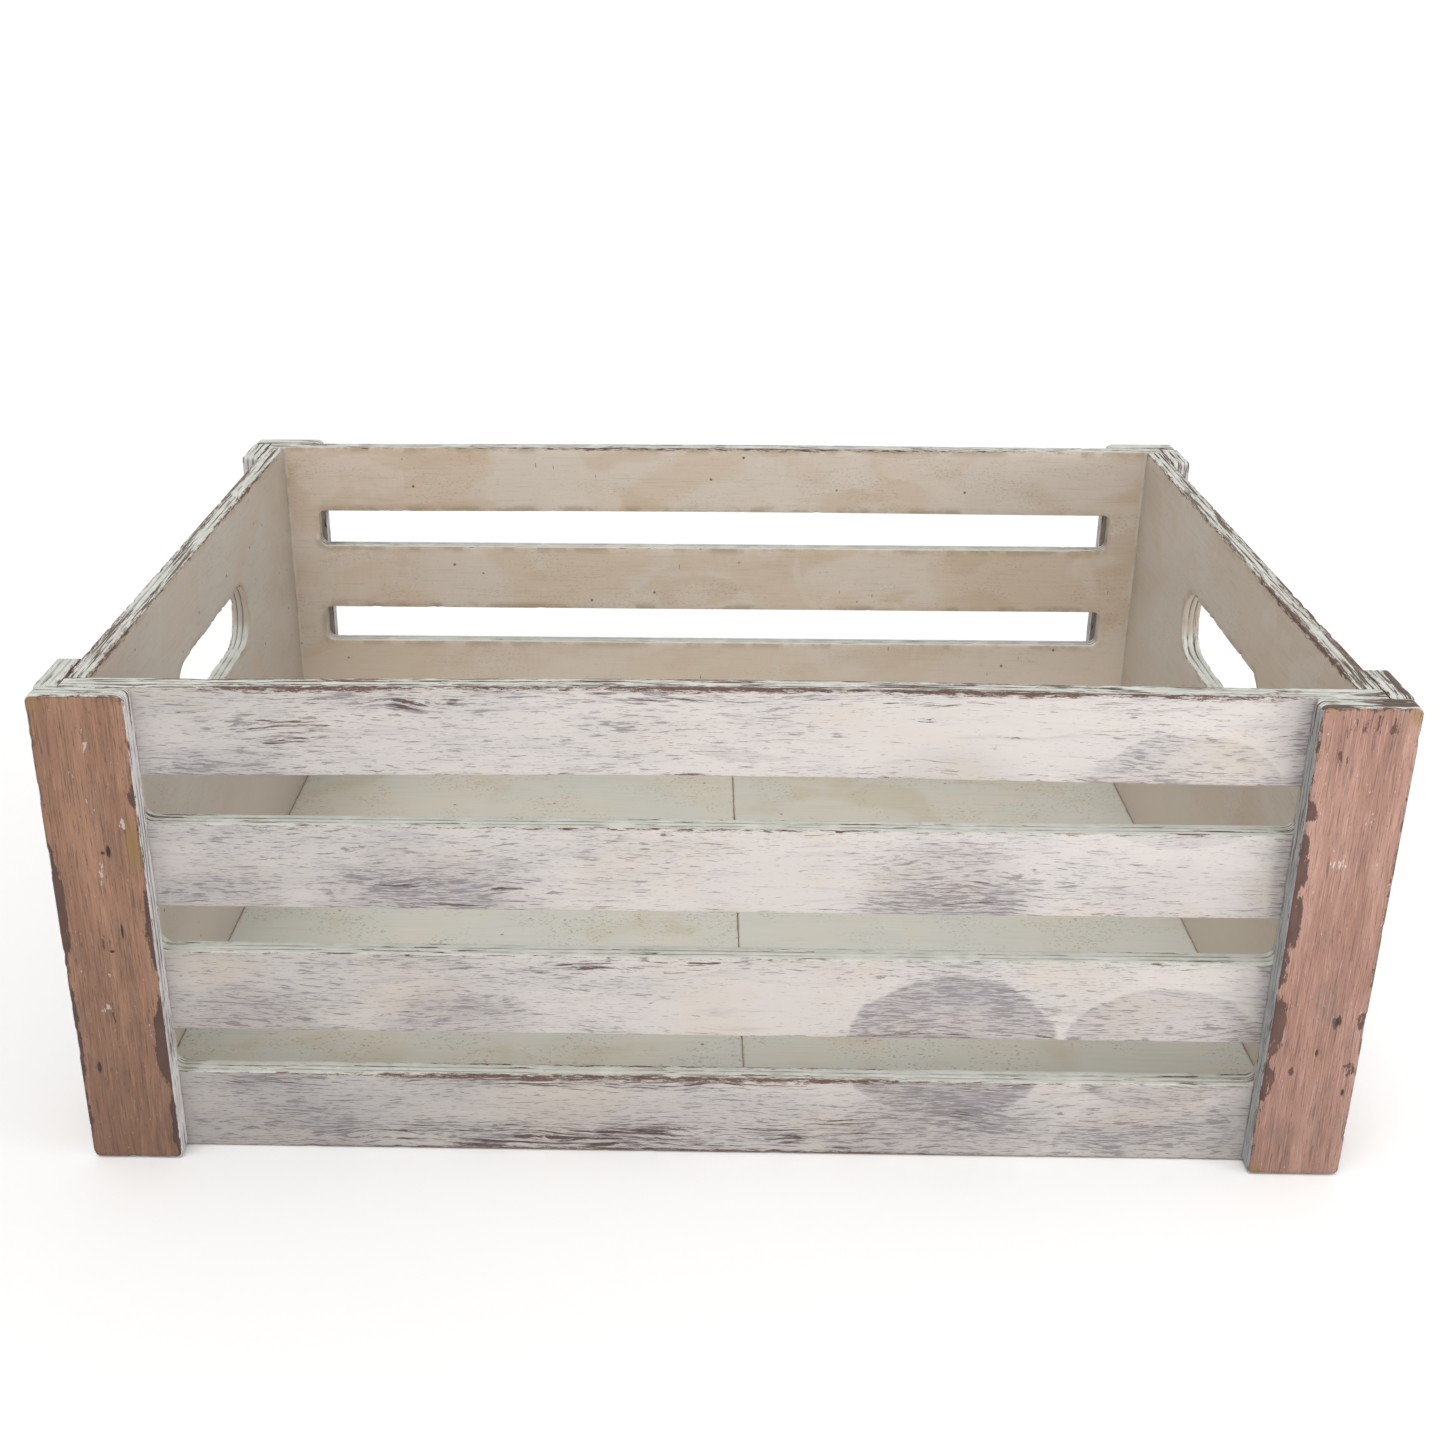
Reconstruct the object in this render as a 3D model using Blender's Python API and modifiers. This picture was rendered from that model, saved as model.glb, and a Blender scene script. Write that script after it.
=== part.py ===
"""Shallow painted apple crate: slotted front and back, hand holes in the sides, planked corners.

Units are metres and +Z is up. The crate stands on Z = 0, centred on the origin, with its long
side along X and its front facing -Y. Run it with: blender --background --python part.py
"""

import math

import bmesh
import bpy
from mathutils import Matrix, Vector

# Outside size of the crate
LENGTH = 0.400
DEPTH = 0.294
HEIGHT = 0.162

# Boards
PLANK_T = 0.007
PANEL_T = 0.007
FLOOR_T = 0.009
FACE_PLANK_W = 0.029
CORNER_REACH = 0.031  # from the front face to the far edge of a side plank
GAP = 0.0003  # clearance between pieces that touch

# Slots of the front and back panels: four bands with three slots between them
SLOT_COUNT = 3
SLOT_H = 0.016
BAND_H = (HEIGHT - SLOT_COUNT * SLOT_H) / (SLOT_COUNT + 1)
SLOT_LENGTH = 0.346
SLOT_CORNER_R = 0.003
SLOT_CORNER_STEPS = 4

# Hand holes of the side panels
GRIP_LENGTH = 0.101
GRIP_H = 0.0254
GRIP_Z = 0.1174
GRIP_END_R = GRIP_H / 2 - 0.00005  # a hair under half the height, so that the ends stay clean
GRIP_END_STEPS = 10

# Floor
SEAM_X = 0.011

# Edge rounding
PANEL_EDGE = 0.0006
PLANK_EDGE = 0.0012
EDGE_STEPS = 2

CUTTER_DEPTH = 4 * PANEL_T  # clears both faces of a panel

# Nails
SHANK_R = 0.0008
HEAD_R = 0.0016
HEAD_T = 0.0006
TIP_LENGTH = 0.0025
NAIL_STEPS = 12
NAIL_SET = 0.0010  # depth of a head under the painted face
CORNER_NAIL = 0.025  # length, through a wide plank and a panel into a side panel's end
CORNER_NAIL_Z = (0.016, 0.081, 0.148)
SIDE_NAIL = 0.022  # length, through a side plank into a panel's end
SIDE_NAIL_Z = (0.0475, 0.1145)
FLOOR_NAIL = 0.025  # length, through a panel into a floor board's edge
FLOOR_NAIL_X = (0.055, 0.140)
FLOOR_NAIL_Y = 0.065

# Planes of the build-up, measured outwards from the centre
PANEL_OUT_X = LENGTH / 2 - PLANK_T - GAP
PANEL_IN_X = PANEL_OUT_X - PANEL_T
PANEL_OUT_Y = DEPTH / 2 - PLANK_T - GAP
PANEL_IN_Y = PANEL_OUT_Y - PANEL_T

# Colour, roughness and metallic value of each kind of piece
BAND_PAINT = ((0.66, 0.62, 0.60), 0.62, 0.0)
WALL_PAINT = ((0.50, 0.44, 0.37), 0.60, 0.0)
FLOOR_PAINT = ((0.57, 0.60, 0.52), 0.60, 0.0)
PLANK_STAIN = ((0.38, 0.21, 0.15), 0.68, 0.0)
NAIL_STEEL = ((0.55, 0.54, 0.52), 0.40, 1.0)


def clear_scene():
    for obj in list(bpy.data.objects):
        bpy.data.objects.remove(obj, do_unlink=True)


def new_collection(name):
    collection = bpy.data.collections.new(name)
    bpy.context.scene.collection.children.link(collection)
    return collection


def set_material(obj, paint):
    """Give the object its own Principled BSDF material."""
    colour, roughness, metallic = paint
    material = bpy.data.materials.new(obj.name)
    material.use_nodes = True
    shader = material.node_tree.nodes["Principled BSDF"]
    shader.inputs["Base Color"].default_value = (*colour, 1.0)
    shader.inputs["Roughness"].default_value = roughness
    shader.inputs["Metallic"].default_value = metallic
    obj.material_slots[0].link = "OBJECT"
    obj.material_slots[0].material = material


def box_between(name, low, high, collection):
    """A box object with its origin at its centre."""
    low, high = Vector(low), Vector(high)
    mesh = bpy.data.meshes.new(name)
    shape = bmesh.new()
    bmesh.ops.create_cube(shape, size=1.0, matrix=Matrix.Diagonal((*(high - low), 1.0)))
    shape.to_mesh(mesh)
    shape.free()
    obj = bpy.data.objects.new(name, mesh)
    obj.location = (low + high) / 2
    collection.objects.link(obj)
    return obj


def round_edges(obj, width):
    bevel = obj.modifiers.new("Rounded edges", "BEVEL")
    bevel.width = width
    bevel.segments = EDGE_STEPS
    bevel.limit_method = "ANGLE"
    bevel.angle_limit = math.radians(40)


def cut(obj, name, **operand):
    boolean = obj.modifiers.new(name, "BOOLEAN")
    boolean.operation = "DIFFERENCE"
    boolean.solver = "EXACT"
    for key, value in operand.items():
        setattr(boolean, key, value)


def hide_cutter(obj):
    obj.hide_render = True
    obj.display_type = "WIRE"


def opening_cutter(name, size, centre, through, radius, segments, collection):
    """A box that passes through a panel, its edges along the axis `through` rounded to `radius`."""
    half = Vector(size) / 2
    cutter = box_between(name, Vector(centre) - half, Vector(centre) + half, collection)
    shape = bmesh.new()
    shape.from_mesh(cutter.data)
    edges = [
        edge for edge in shape.edges
        if abs((edge.verts[0].co - edge.verts[1].co)[through]) > size[through] / 2
    ]
    bmesh.ops.bevel(
        shape, geom=edges, offset=radius, offset_type="OFFSET", segments=segments,
        profile=0.5, affect="EDGES",
    )
    shape.to_mesh(cutter.data)
    shape.free()
    hide_cutter(cutter)
    return cutter


def nail_mesh(name, length, clearance=0.0):
    """Profile of a brad in the XZ plane: its head's top at the origin, its point down -Z."""
    mesh = bpy.data.meshes.new(name)
    shape = bmesh.new()
    outline = (
        (0.0, clearance),
        (HEAD_R + clearance, clearance),
        (HEAD_R + clearance, -HEAD_T - clearance),
        (SHANK_R + clearance, -HEAD_T - clearance),
        (SHANK_R + clearance, TIP_LENGTH - length),
        (0.0, -length - clearance),
    )
    points = [shape.verts.new((x, 0.0, z)) for x, z in outline]
    for start, end in zip(points, points[1:]):
        shape.edges.new((start, end))
    shape.to_mesh(mesh)
    shape.free()
    return mesh


def nail_object(name, mesh, head, direction, collection):
    """Turn the profile round its axis and point it along `direction`."""
    obj = bpy.data.objects.new(name, mesh)
    obj.location = head
    obj.rotation_euler = Vector(direction).to_track_quat("-Z", "Y").to_euler()
    collection.objects.link(obj)
    turn = obj.modifiers.new("Turned", "SCREW")
    turn.axis = "Z"
    turn.steps = turn.render_steps = NAIL_STEPS
    turn.use_merge_vertices = True
    turn.merge_threshold = 0.00001
    return obj


def nail_places():
    """Yield (name, length, head position, direction) for every nail."""
    mid_x = (PANEL_IN_X + PANEL_OUT_X) / 2
    mid_y = (PANEL_IN_Y + PANEL_OUT_Y) / 2
    floor_z = FLOOR_T / 2
    for side, x_sign in (("left", -1), ("right", 1)):
        for face, y_sign in (("front", -1), ("back", 1)):
            for number, z in enumerate(CORNER_NAIL_Z, 1):
                head = (x_sign * mid_x, y_sign * (DEPTH / 2 - NAIL_SET), z)
                yield f"{face}_{side}_nail_{number}", CORNER_NAIL, head, (0, -y_sign, 0)
            for number, z in enumerate(SIDE_NAIL_Z, 1):
                head = (x_sign * (LENGTH / 2 - NAIL_SET), y_sign * mid_y, z)
                yield f"{side}_{face}_nail_{number}", SIDE_NAIL, head, (-x_sign, 0, 0)
            for number, x in enumerate(FLOOR_NAIL_X, 1):
                head = (x_sign * x, y_sign * (PANEL_OUT_Y - NAIL_SET), floor_z)
                yield f"floor_{face}_{side}_nail_{number}", FLOOR_NAIL, head, (0, -y_sign, 0)
            head = (x_sign * (PANEL_OUT_X - NAIL_SET), y_sign * FLOOR_NAIL_Y, floor_z)
            yield f"floor_{side}_{face}_nail", FLOOR_NAIL, head, (-x_sign, 0, 0)


def build_nails(parts, clearances):
    """Every nail, and for each one a cutter that is larger by the clearance all round."""
    lengths = (CORNER_NAIL, SIDE_NAIL, FLOOR_NAIL)
    nails = {length: nail_mesh("nail", length) for length in lengths}
    holes = {length: nail_mesh("nail_hole", length, GAP) for length in lengths}
    for mesh in nails.values():
        mesh.materials.append(None)
    for name, length, head, direction in nail_places():
        nail = nail_object(name, nails[length], head, direction, parts)
        set_material(nail, NAIL_STEEL)
        nail.parent = parts.objects["crate"]
        hide_cutter(nail_object(name + "_hole", holes[length], head, direction, clearances))


def build_slotted_panel(name, y_sign, parts, cutters):
    """A full-length panel with three round-cornered slots; its ends butt against the side planks."""
    near, far = sorted((y_sign * PANEL_IN_Y, y_sign * PANEL_OUT_Y))
    panel = box_between(
        name, (-PANEL_OUT_X, near, 0.0), (PANEL_OUT_X, far, HEIGHT), parts
    )
    for slot in range(SLOT_COUNT):
        z = (slot + 1) * BAND_H + (slot + 0.5) * SLOT_H
        cutter = opening_cutter(
            f"{name}_slot_{slot + 1}", (SLOT_LENGTH, CUTTER_DEPTH, SLOT_H),
            (0.0, (near + far) / 2, z), 1, SLOT_CORNER_R, SLOT_CORNER_STEPS, cutters,
        )
        cut(panel, f"Slot {slot + 1}", object=cutter)
    round_edges(panel, PANEL_EDGE)
    return panel


def build_side_panel(name, x_sign, parts, cutters):
    """A plain panel between the front and back ones, with a round-ended hand hole."""
    near, far = sorted((x_sign * PANEL_IN_X, x_sign * PANEL_OUT_X))
    half = PANEL_IN_Y - GAP
    panel = box_between(name, (near, -half, 0.0), (far, half, HEIGHT), parts)
    grip = opening_cutter(
        f"{name}_grip", (CUTTER_DEPTH, GRIP_LENGTH, GRIP_H), ((near + far) / 2, 0.0, GRIP_Z),
        0, GRIP_END_R, GRIP_END_STEPS, cutters,
    )
    cut(panel, "Hand hole", object=grip)
    round_edges(panel, PANEL_EDGE)
    return panel


def build_floor_board(name, x_from, x_to, parts):
    half = PANEL_IN_Y - GAP
    board = box_between(name, (x_from, -half, 0.0), (x_to, half, FLOOR_T), parts)
    round_edges(board, PANEL_EDGE)
    return board


def build_face_plank(name, x_sign, y_sign, parts):
    """A wide plank on the front or back face; it covers the end of the side plank."""
    x_from, x_to = sorted((x_sign * (LENGTH / 2 - FACE_PLANK_W), x_sign * LENGTH / 2))
    y_from, y_to = sorted((y_sign * (DEPTH / 2 - PLANK_T), y_sign * DEPTH / 2))
    plank = box_between(name, (x_from, y_from, 0.0), (x_to, y_to, HEIGHT), parts)
    round_edges(plank, PLANK_EDGE)
    return plank


def build_side_plank(name, x_sign, y_sign, parts):
    """A narrower plank on the side, over the panels' corner joint and behind the wide plank."""
    x_from, x_to = sorted((x_sign * (LENGTH / 2 - PLANK_T), x_sign * LENGTH / 2))
    y_from, y_to = sorted((y_sign * (DEPTH / 2 - CORNER_REACH), y_sign * PANEL_OUT_Y))
    plank = box_between(name, (x_from, y_from, 0.0), (x_to, y_to, HEIGHT), parts)
    round_edges(plank, PLANK_EDGE)
    return plank


def build_crate():
    parts = new_collection("apple_crate")
    cutters = new_collection("cutters")
    clearances = new_collection("nail_holes")
    crate = bpy.data.objects.new("crate", None)
    parts.objects.link(crate)

    boards = []
    for face, y_sign in (("front", -1), ("back", 1)):
        boards.append((build_slotted_panel(f"{face}_panel", y_sign, parts, cutters), BAND_PAINT))
    for side, x_sign in (("left", -1), ("right", 1)):
        boards.append((build_side_panel(f"{side}_side_panel", x_sign, parts, cutters), WALL_PAINT))
        for face, y_sign in (("front", -1), ("back", 1)):
            wide = build_face_plank(f"{face}_{side}_plank", x_sign, y_sign, parts)
            narrow = build_side_plank(f"{side}_{face}_plank", x_sign, y_sign, parts)
            boards += [(wide, PLANK_STAIN), (narrow, PLANK_STAIN)]
    floor_end = PANEL_IN_X - GAP
    left = build_floor_board("floor_board_left", -floor_end, SEAM_X - GAP / 2, parts)
    right = build_floor_board("floor_board_right", SEAM_X + GAP / 2, floor_end, parts)
    boards += [(left, FLOOR_PAINT), (right, FLOOR_PAINT)]

    build_nails(parts, clearances)
    for board, paint in boards:
        cut(board, "Nail holes", operand_type="COLLECTION", collection=clearances)
        board.data.materials.append(None)
        set_material(board, paint)
        board.parent = crate


clear_scene()
build_crate()
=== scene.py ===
"""Looks of the painted apple crate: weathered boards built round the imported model.

Each board is a closed mesh of its own with worn corners, ply lines and grain, and its paint is
a graph of shader nodes. Lengths in the board and paint code are millimetres.
"""
import math

import bpy
import numpy as np
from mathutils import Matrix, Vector, geometry


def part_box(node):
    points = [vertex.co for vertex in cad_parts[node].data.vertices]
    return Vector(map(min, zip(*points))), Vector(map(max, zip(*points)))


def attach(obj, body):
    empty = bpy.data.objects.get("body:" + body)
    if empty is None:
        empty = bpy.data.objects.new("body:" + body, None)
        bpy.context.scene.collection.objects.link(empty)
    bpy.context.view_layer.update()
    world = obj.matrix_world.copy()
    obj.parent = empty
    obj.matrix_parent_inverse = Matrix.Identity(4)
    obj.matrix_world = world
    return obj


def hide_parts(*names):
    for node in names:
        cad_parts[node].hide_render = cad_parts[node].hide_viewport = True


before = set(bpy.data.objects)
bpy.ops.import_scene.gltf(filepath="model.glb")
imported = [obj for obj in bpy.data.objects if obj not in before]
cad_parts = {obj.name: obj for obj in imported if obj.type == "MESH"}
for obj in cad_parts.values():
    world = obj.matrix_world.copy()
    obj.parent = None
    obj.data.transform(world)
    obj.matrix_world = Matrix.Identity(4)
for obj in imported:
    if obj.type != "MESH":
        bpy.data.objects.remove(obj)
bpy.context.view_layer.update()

MM = 1000.0  # millimetres in a metre

# Directions of a board: its length axis, its height axis, its thickness axis, and +1 where the
# show face is the low side of the thickness axis
FRONT, BACK = (0, 2, 1, 1), (0, 2, 1, -1)
LEFT, RIGHT = (1, 2, 0, 1), (1, 2, 0, -1)
TOP = (0, 1, 2, -1)

# Shapes
FILL = 0.25  # closes the fitting gap behind a board
PANEL_ROUND, PLANK_ROUND = 0.6, 1.0
PANEL_CORNER, PLANK_CORNER = 0.8, 2.2
PLIES = (0.34, 0.65)  # glue lines, as shares of the thickness
GROOVE, GROOVE_HALF = 0.22, 0.45  # depth and half width of a glue line
SLOT_HALF, SLOT_H, SLOT_R = 173.0, 16.0, 3.0
GRIP_L, GRIP_H, GRIP_Z, GRIP_R = 101.0, 25.4, 117.4, 12.65
CORNER_X, CORNER_Y = 185.7, 132.4  # where the walls meet inside
FRONT_BOW, BACK_BOW = 3.0, -2.0  # how far the top bands bend
BOW_HALF = 172.0  # half the length that bends


# ---------------------------------------------------------------- repeatable noise for shapes
def lattice(i, j, k, seed):
    """Repeatable values from 0 to 1 at whole-numbered points."""
    n = (i * 73856093 ^ j * 19349663 ^ k * 83492791 ^ (seed * 2654435 + 977)) & 0xFFFFFFFF
    n = ((n ^ (n >> 15)) * 2246822519) & 0xFFFFFFFF
    n = ((n ^ (n >> 13)) * 3266489917) & 0xFFFFFFFF
    return ((n ^ (n >> 16)) & 0xFFFFFF) / 0xFFFFFF


def smooth_noise(points, seed):
    """Values from 0 to 1 that change smoothly between the lattice points."""
    base = np.floor(points).astype(np.int64)
    f = points - base
    f = f * f * (3 - 2 * f)
    total = np.zeros(len(points))
    for a in (0, 1):
        for b in (0, 1):
            for c in (0, 1):
                weight = (np.where(a, f[:, 0], 1 - f[:, 0])
                          * np.where(b, f[:, 1], 1 - f[:, 1])
                          * np.where(c, f[:, 2], 1 - f[:, 2]))
                total += weight * lattice(base[:, 0] + a, base[:, 1] + b, base[:, 2] + c, seed)
    return total


def fractal(u, v, size, seed, octaves=3):
    """Layered noise from 0 to 1 over a board's face; size is its grain size along u and v."""
    total, share, norm = np.zeros(len(u)), 1.0, 0.0
    for octave in range(octaves):
        scale = 2.0 ** octave
        points = np.stack([u / size[0] * scale, v / size[1] * scale,
                           np.full(len(u), 0.37 + octave)], axis=1)
        total += share * smooth_noise(points, seed + octave)
        norm += share
        share *= 0.55
    return total / norm


def ramp(value, low, high):
    """A smooth change from 0 to 1 as value goes from low to high."""
    t = np.clip((value - low) / (high - low), 0, 1)
    return t * t * (3 - 2 * t)


# ---------------------------------------------------------------- boards
def rounded_loop(low, high, radius, step, hole):
    """Points round a rectangle, with the wood on their left, their unit normals into the wood,
    and how far in from each the board's face may start."""
    points, normals, room = [], [], []
    corners = ((high[0], low[1], -90), (high[0], high[1], 0), (low[0], high[1], 90),
               (low[0], low[1], 180))
    arc_steps = max(4, math.ceil(radius * math.pi / 2 / (0.6 * step)))
    for index, (cu, cv, start) in enumerate(corners):
        centre = (cu - math.copysign(radius, cu - (low[0] + high[0]) / 2),
                  cv - math.copysign(radius, cv - (low[1] + high[1]) / 2))
        for k in range(arc_steps + 1):
            angle = math.radians(start + 90 * k / arc_steps)
            n = (math.cos(angle), math.sin(angle))
            points.append((centre[0] + radius * n[0], centre[1] + radius * n[1]))
            normals.append(n)
            room.append(math.inf if hole else 0.95 * radius)
        end, n = points[-1], normals[-1]
        along = (-n[1], n[0])
        run = (high[1] - low[1] if index % 2 == 0 else high[0] - low[0]) - 2 * radius
        pieces = max(1, round(run / step))
        for k in range(1, pieces):
            t = run * k / pieces
            points.append((end[0] + along[0] * t, end[1] + along[1] * t))
            normals.append(n)
            room.append(math.inf if hole else 0.95 * (radius + min(t, run - t)))
    points, normals, room = np.array(points), np.array(normals), np.array(room)
    if hole:
        return points[::-1], normals[::-1], room
    return points, -normals, room


def rectangle_distance(u, v, low, high, radius):
    """Signed distance to a rounded rectangle, negative inside."""
    qu = np.abs(u - (low[0] + high[0]) / 2) - (high[0] - low[0]) / 2 + radius
    qv = np.abs(v - (low[1] + high[1]) / 2) - (high[1] - low[1]) / 2 + radius
    outside = np.hypot(np.maximum(qu, 0), np.maximum(qv, 0))
    return outside + np.minimum(np.maximum(qu, qv), 0) - radius


def section(thick, outer, inner):
    """A board's rim from its show face round to its inner face, as rows of inset, depth and
    distance from the nearest corner line, which is negative on the cut edge."""
    rows = []
    for a in np.linspace(0, math.pi / 2, 4):
        rows.append((outer * (1 - math.sin(a)), outer * (1 - math.cos(a)),
                     outer * (math.pi / 4 - a)))
    for ply in PLIES:
        w = thick * ply
        rows += [(0.0, w - GROOVE_HALF, 0), (GROOVE, w, 0), (0.0, w + GROOVE_HALF, 0)]
    for a in np.linspace(math.pi / 2, 0, 4):
        rows.append((inner * (1 - math.sin(a)), thick - inner * (1 - math.cos(a)),
                     inner * (math.pi / 4 - a)))
    rows = np.array(rows)
    cut = (rows[:, 0] <= GROOVE) & (rows[:, 2] == 0)
    rows[cut, 2] = -np.minimum(rows[cut, 1], thick - rows[cut, 1])
    return rows


def fill_face(loops, grid, room, margin, extra):
    """Points and triangles of a flat face between its loops, with a grid of points inside that
    keeps a margin from them."""
    low, high = loops[0].min(0), loops[0].max(0)
    u = np.arange(low[0] + grid[0] / 2, high[0], grid[0])
    v = np.arange(low[1] + grid[1] / 2, high[1], grid[1])
    uu, vv = (a.ravel() for a in np.meshgrid(u, v))
    if len(extra):
        uu, vv = np.concatenate([uu, extra[:, 0]]), np.concatenate([vv, extra[:, 1]])
    inside = room(uu, vv) > margin + 0.3 * min(grid)
    inner = np.stack([uu[inside], vv[inside]], axis=1)
    points, edges, starts = [], [], []
    for loop in loops:
        first = len(points)
        starts.append(first)
        points += [Vector(p) for p in loop]
        edges += [(first + i, first + (i + 1) % len(loop)) for i in range(len(loop))]
    rim_count = len(points)
    points += [Vector(p) for p in inner]
    out = geometry.delaunay_2d_cdt(points, edges, [], 1, 1e-7)
    order = np.array([origin[0] for origin in out[3]])
    triangles = order[np.array(out[2])]
    owner = np.full(len(points), -1)
    for index, first in enumerate(starts):
        last = starts[index + 1] if index + 1 < len(starts) else rim_count
        owner[first:last] = index
    kept = owner[triangles]
    in_hole = (kept[:, 0] > 0) & (kept[:, 0] == kept[:, 1]) & (kept[:, 1] == kept[:, 2])
    return inner, triangles[~in_hole]


def worn_rim(loops, rows, thick, chips, wobble, seed):
    """The rim strip of a board, wavy and chipped along both corner lines: for each point its place
    on the face and in depth, then its depth, corner distance and chip share before wear."""
    base, normal, limit = (np.concatenate(parts) for parts in zip(*loops))
    count, depth_rows = len(base), len(rows)
    u, v = (np.repeat(base[:, k], depth_rows) for k in (0, 1))
    nu, nv = (np.repeat(normal[:, k], depth_rows) for k in (0, 1))
    inset, depth, arris = (np.tile(rows[:, k], count) for k in (0, 1, 2))
    limit = np.repeat(limit, depth_rows)
    on_show = depth < thick / 2
    wave = fractal(u, v, (22, 22), seed + 1, 2) * wobble * np.exp(-inset / 1.5)
    chip = np.zeros(len(u))
    for side, salt in ((on_show, 5), (~on_show, 9)):
        level = fractal(u[side], v[side], (5.0, 5.0), seed + salt)
        reach = 0.7 + 1.6 * fractal(u[side], v[side], (9, 9), seed + salt + 3, 1)
        bite = ramp(level, chips[0] - 0.06, chips[0] + 0.08)
        chip[side] = bite * np.clip(1 - np.abs(arris[side]) / reach, 0, 1)
    cut = chip * chips[1]
    moved = np.minimum(inset + wave + cut, limit)
    w = depth + np.where(on_show, 1, -1) * cut * (inset > 0)
    return [u + nu * moved, v + nv * moved, w, depth, arris, chip]


def two_faces(loops, rim, depth_rows, thick, grids, room, margin, extra):
    """The rim's points followed by those inside the show face and the inner face, and the triangles
    of both faces."""
    starts = loop_starts(loops)
    count = starts[-1] + len(loops[-1][0])
    parts, triangles = [rim], []
    total = len(rim[0])
    for row, grid, w, more in ((0, grids[0], 0.0, extra), (depth_rows - 1, grids[1], thick, ())):
        ring = np.arange(count) * depth_rows + row
        ring_points = np.stack([rim[0][ring], rim[1][ring]], axis=1)
        ring_loops = [ring_points[s:s + len(loop[0])] for s, loop in zip(starts, loops)]
        inner, tris = fill_face(ring_loops, grid, room, margin, more)
        tris = np.concatenate([ring, total + np.arange(len(inner))])[tris]
        triangles.append(tris[:, ::-1] if w == 0 else tris)
        total += len(inner)
        flat = np.full(len(inner), w)
        arris = room(inner[:, 0], inner[:, 1])
        parts.append([inner[:, 0], inner[:, 1], flat, flat, arris, 0 * flat])
    return [np.concatenate(columns) for columns in zip(*parts)], np.concatenate(triangles)


def loop_starts(loops):
    """The number of points before each loop."""
    return np.cumsum([0] + [len(loop[0]) for loop in loops])[:-1]


def rim_quads(loops, depth_rows):
    """The strip of quads round each loop."""
    quads = []
    for first, loop in zip(loop_starts(loops), loops):
        around = np.arange(len(loop[0]))
        i, j = first + around, first + (around + 1) % len(around)
        for row in range(depth_rows - 1):
            quads.append(np.stack([i * depth_rows + row, j * depth_rows + row,
                                   j * depth_rows + row + 1, i * depth_rows + row + 1], axis=1))
    return np.concatenate(quads)


def gouge_points(gouges):
    """Extra points of the show face, close together round each gouge."""
    spread = range(-3, 4)
    points = [(u + a * ru / 2, v + b * rv / 2) for u, v, (ru, rv), _ in gouges
              for a in spread for b in spread]
    return np.array(points).reshape(-1, 2)


def relief_depth(u, v, arris, relief, relief_size, gouges, seed):
    """How far grain and gouges sink the show face."""
    grain = fractal(u, v, relief_size, seed + 21, 3)
    deep = relief * 2 * grain * ramp(arris, -0.2, 1.6)
    for gu, gv, (ru, rv), depth in gouges:
        deep = deep + depth * np.exp(-((u - gu) / ru) ** 2 - ((v - gv) / rv) ** 2)
    return deep


def bow_depth(u, v, bow, lowest):
    """How far the band above a height bends, most at its middle."""
    bend = np.clip(1 - (u / BOW_HALF) ** 2, 0, 1) ** 2
    return bow * bend * (v > lowest)


def make_board(name, node, facing, holes=(), corner=PANEL_CORNER, rounding=PANEL_ROUND,
               inner_rounding=0.3, step=1.25, grid=(3.0, 0.9), back_grid=(5.0, 3.0),
               relief=0.05, relief_size=(14.0, 1.1), chips=(0.68, 0.30), wobble=0.12, bow=0.0,
               stretch=0.0, fill=0.0, gouges=(), seed=0):
    """A closed weathered board in the place of a CAD node, and its thickness. Chips are their
    noise level and depth, and a gouge is its centre, radii and depth."""
    ua, va, wa, sign = facing
    low, high = (np.array(c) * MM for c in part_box(node))
    lo, hi = np.array([low[ua] - stretch, low[va]]), np.array([high[ua] + stretch, high[va]])
    thick = high[wa] - low[wa] + fill
    outlines = [(lo, hi, corner, False)] + [
        (np.array(h[:2]), np.array(h[2:4]), h[4], True) for h in holes]
    loops = [rounded_loop(a, b, r, step, hole) for a, b, r, hole in outlines]

    def inset_room(u, v):
        room = -rectangle_distance(u, v, *outlines[0][:3])
        for a, b, r, _ in outlines[1:]:
            room = np.minimum(room, rectangle_distance(u, v, a, b, r))
        return room

    seed *= 50  # keeps the noise of the boards apart
    rows = section(thick, rounding, inner_rounding)
    rim = worn_rim(loops, rows, thick, chips, wobble, seed)
    (u, v, w, depth, arris, chip), triangles = two_faces(
        loops, rim, len(rows), thick, (grid, back_grid), inset_room,
        rounding + wobble + chips[1], gouge_points(gouges))
    show = (depth < 0.01) | ((arris > 0) & (depth < thick / 2))
    w = w + np.where(show, relief_depth(u, v, arris, relief, relief_size, gouges, seed), 0)
    if bow:
        w = w + bow_depth(u, v, bow, holes[-1][1] + SLOT_R)

    quads = rim_quads(loops, len(rows))
    axes = np.zeros((3, 3))
    axes[ua, 0] = axes[va, 1] = 1
    axes[wa, 2] = sign
    if np.linalg.det(axes) < 0:
        quads, triangles = quads[:, ::-1], triangles[:, ::-1]
    place = np.zeros((len(u), 3))
    place[:, ua], place[:, va] = u, v
    place[:, wa] = low[wa] + w if sign > 0 else high[wa] - w
    return board_object(name, node, place, quads.tolist() + triangles.tolist(),
                        (arris, depth, chip)), thick


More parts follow.
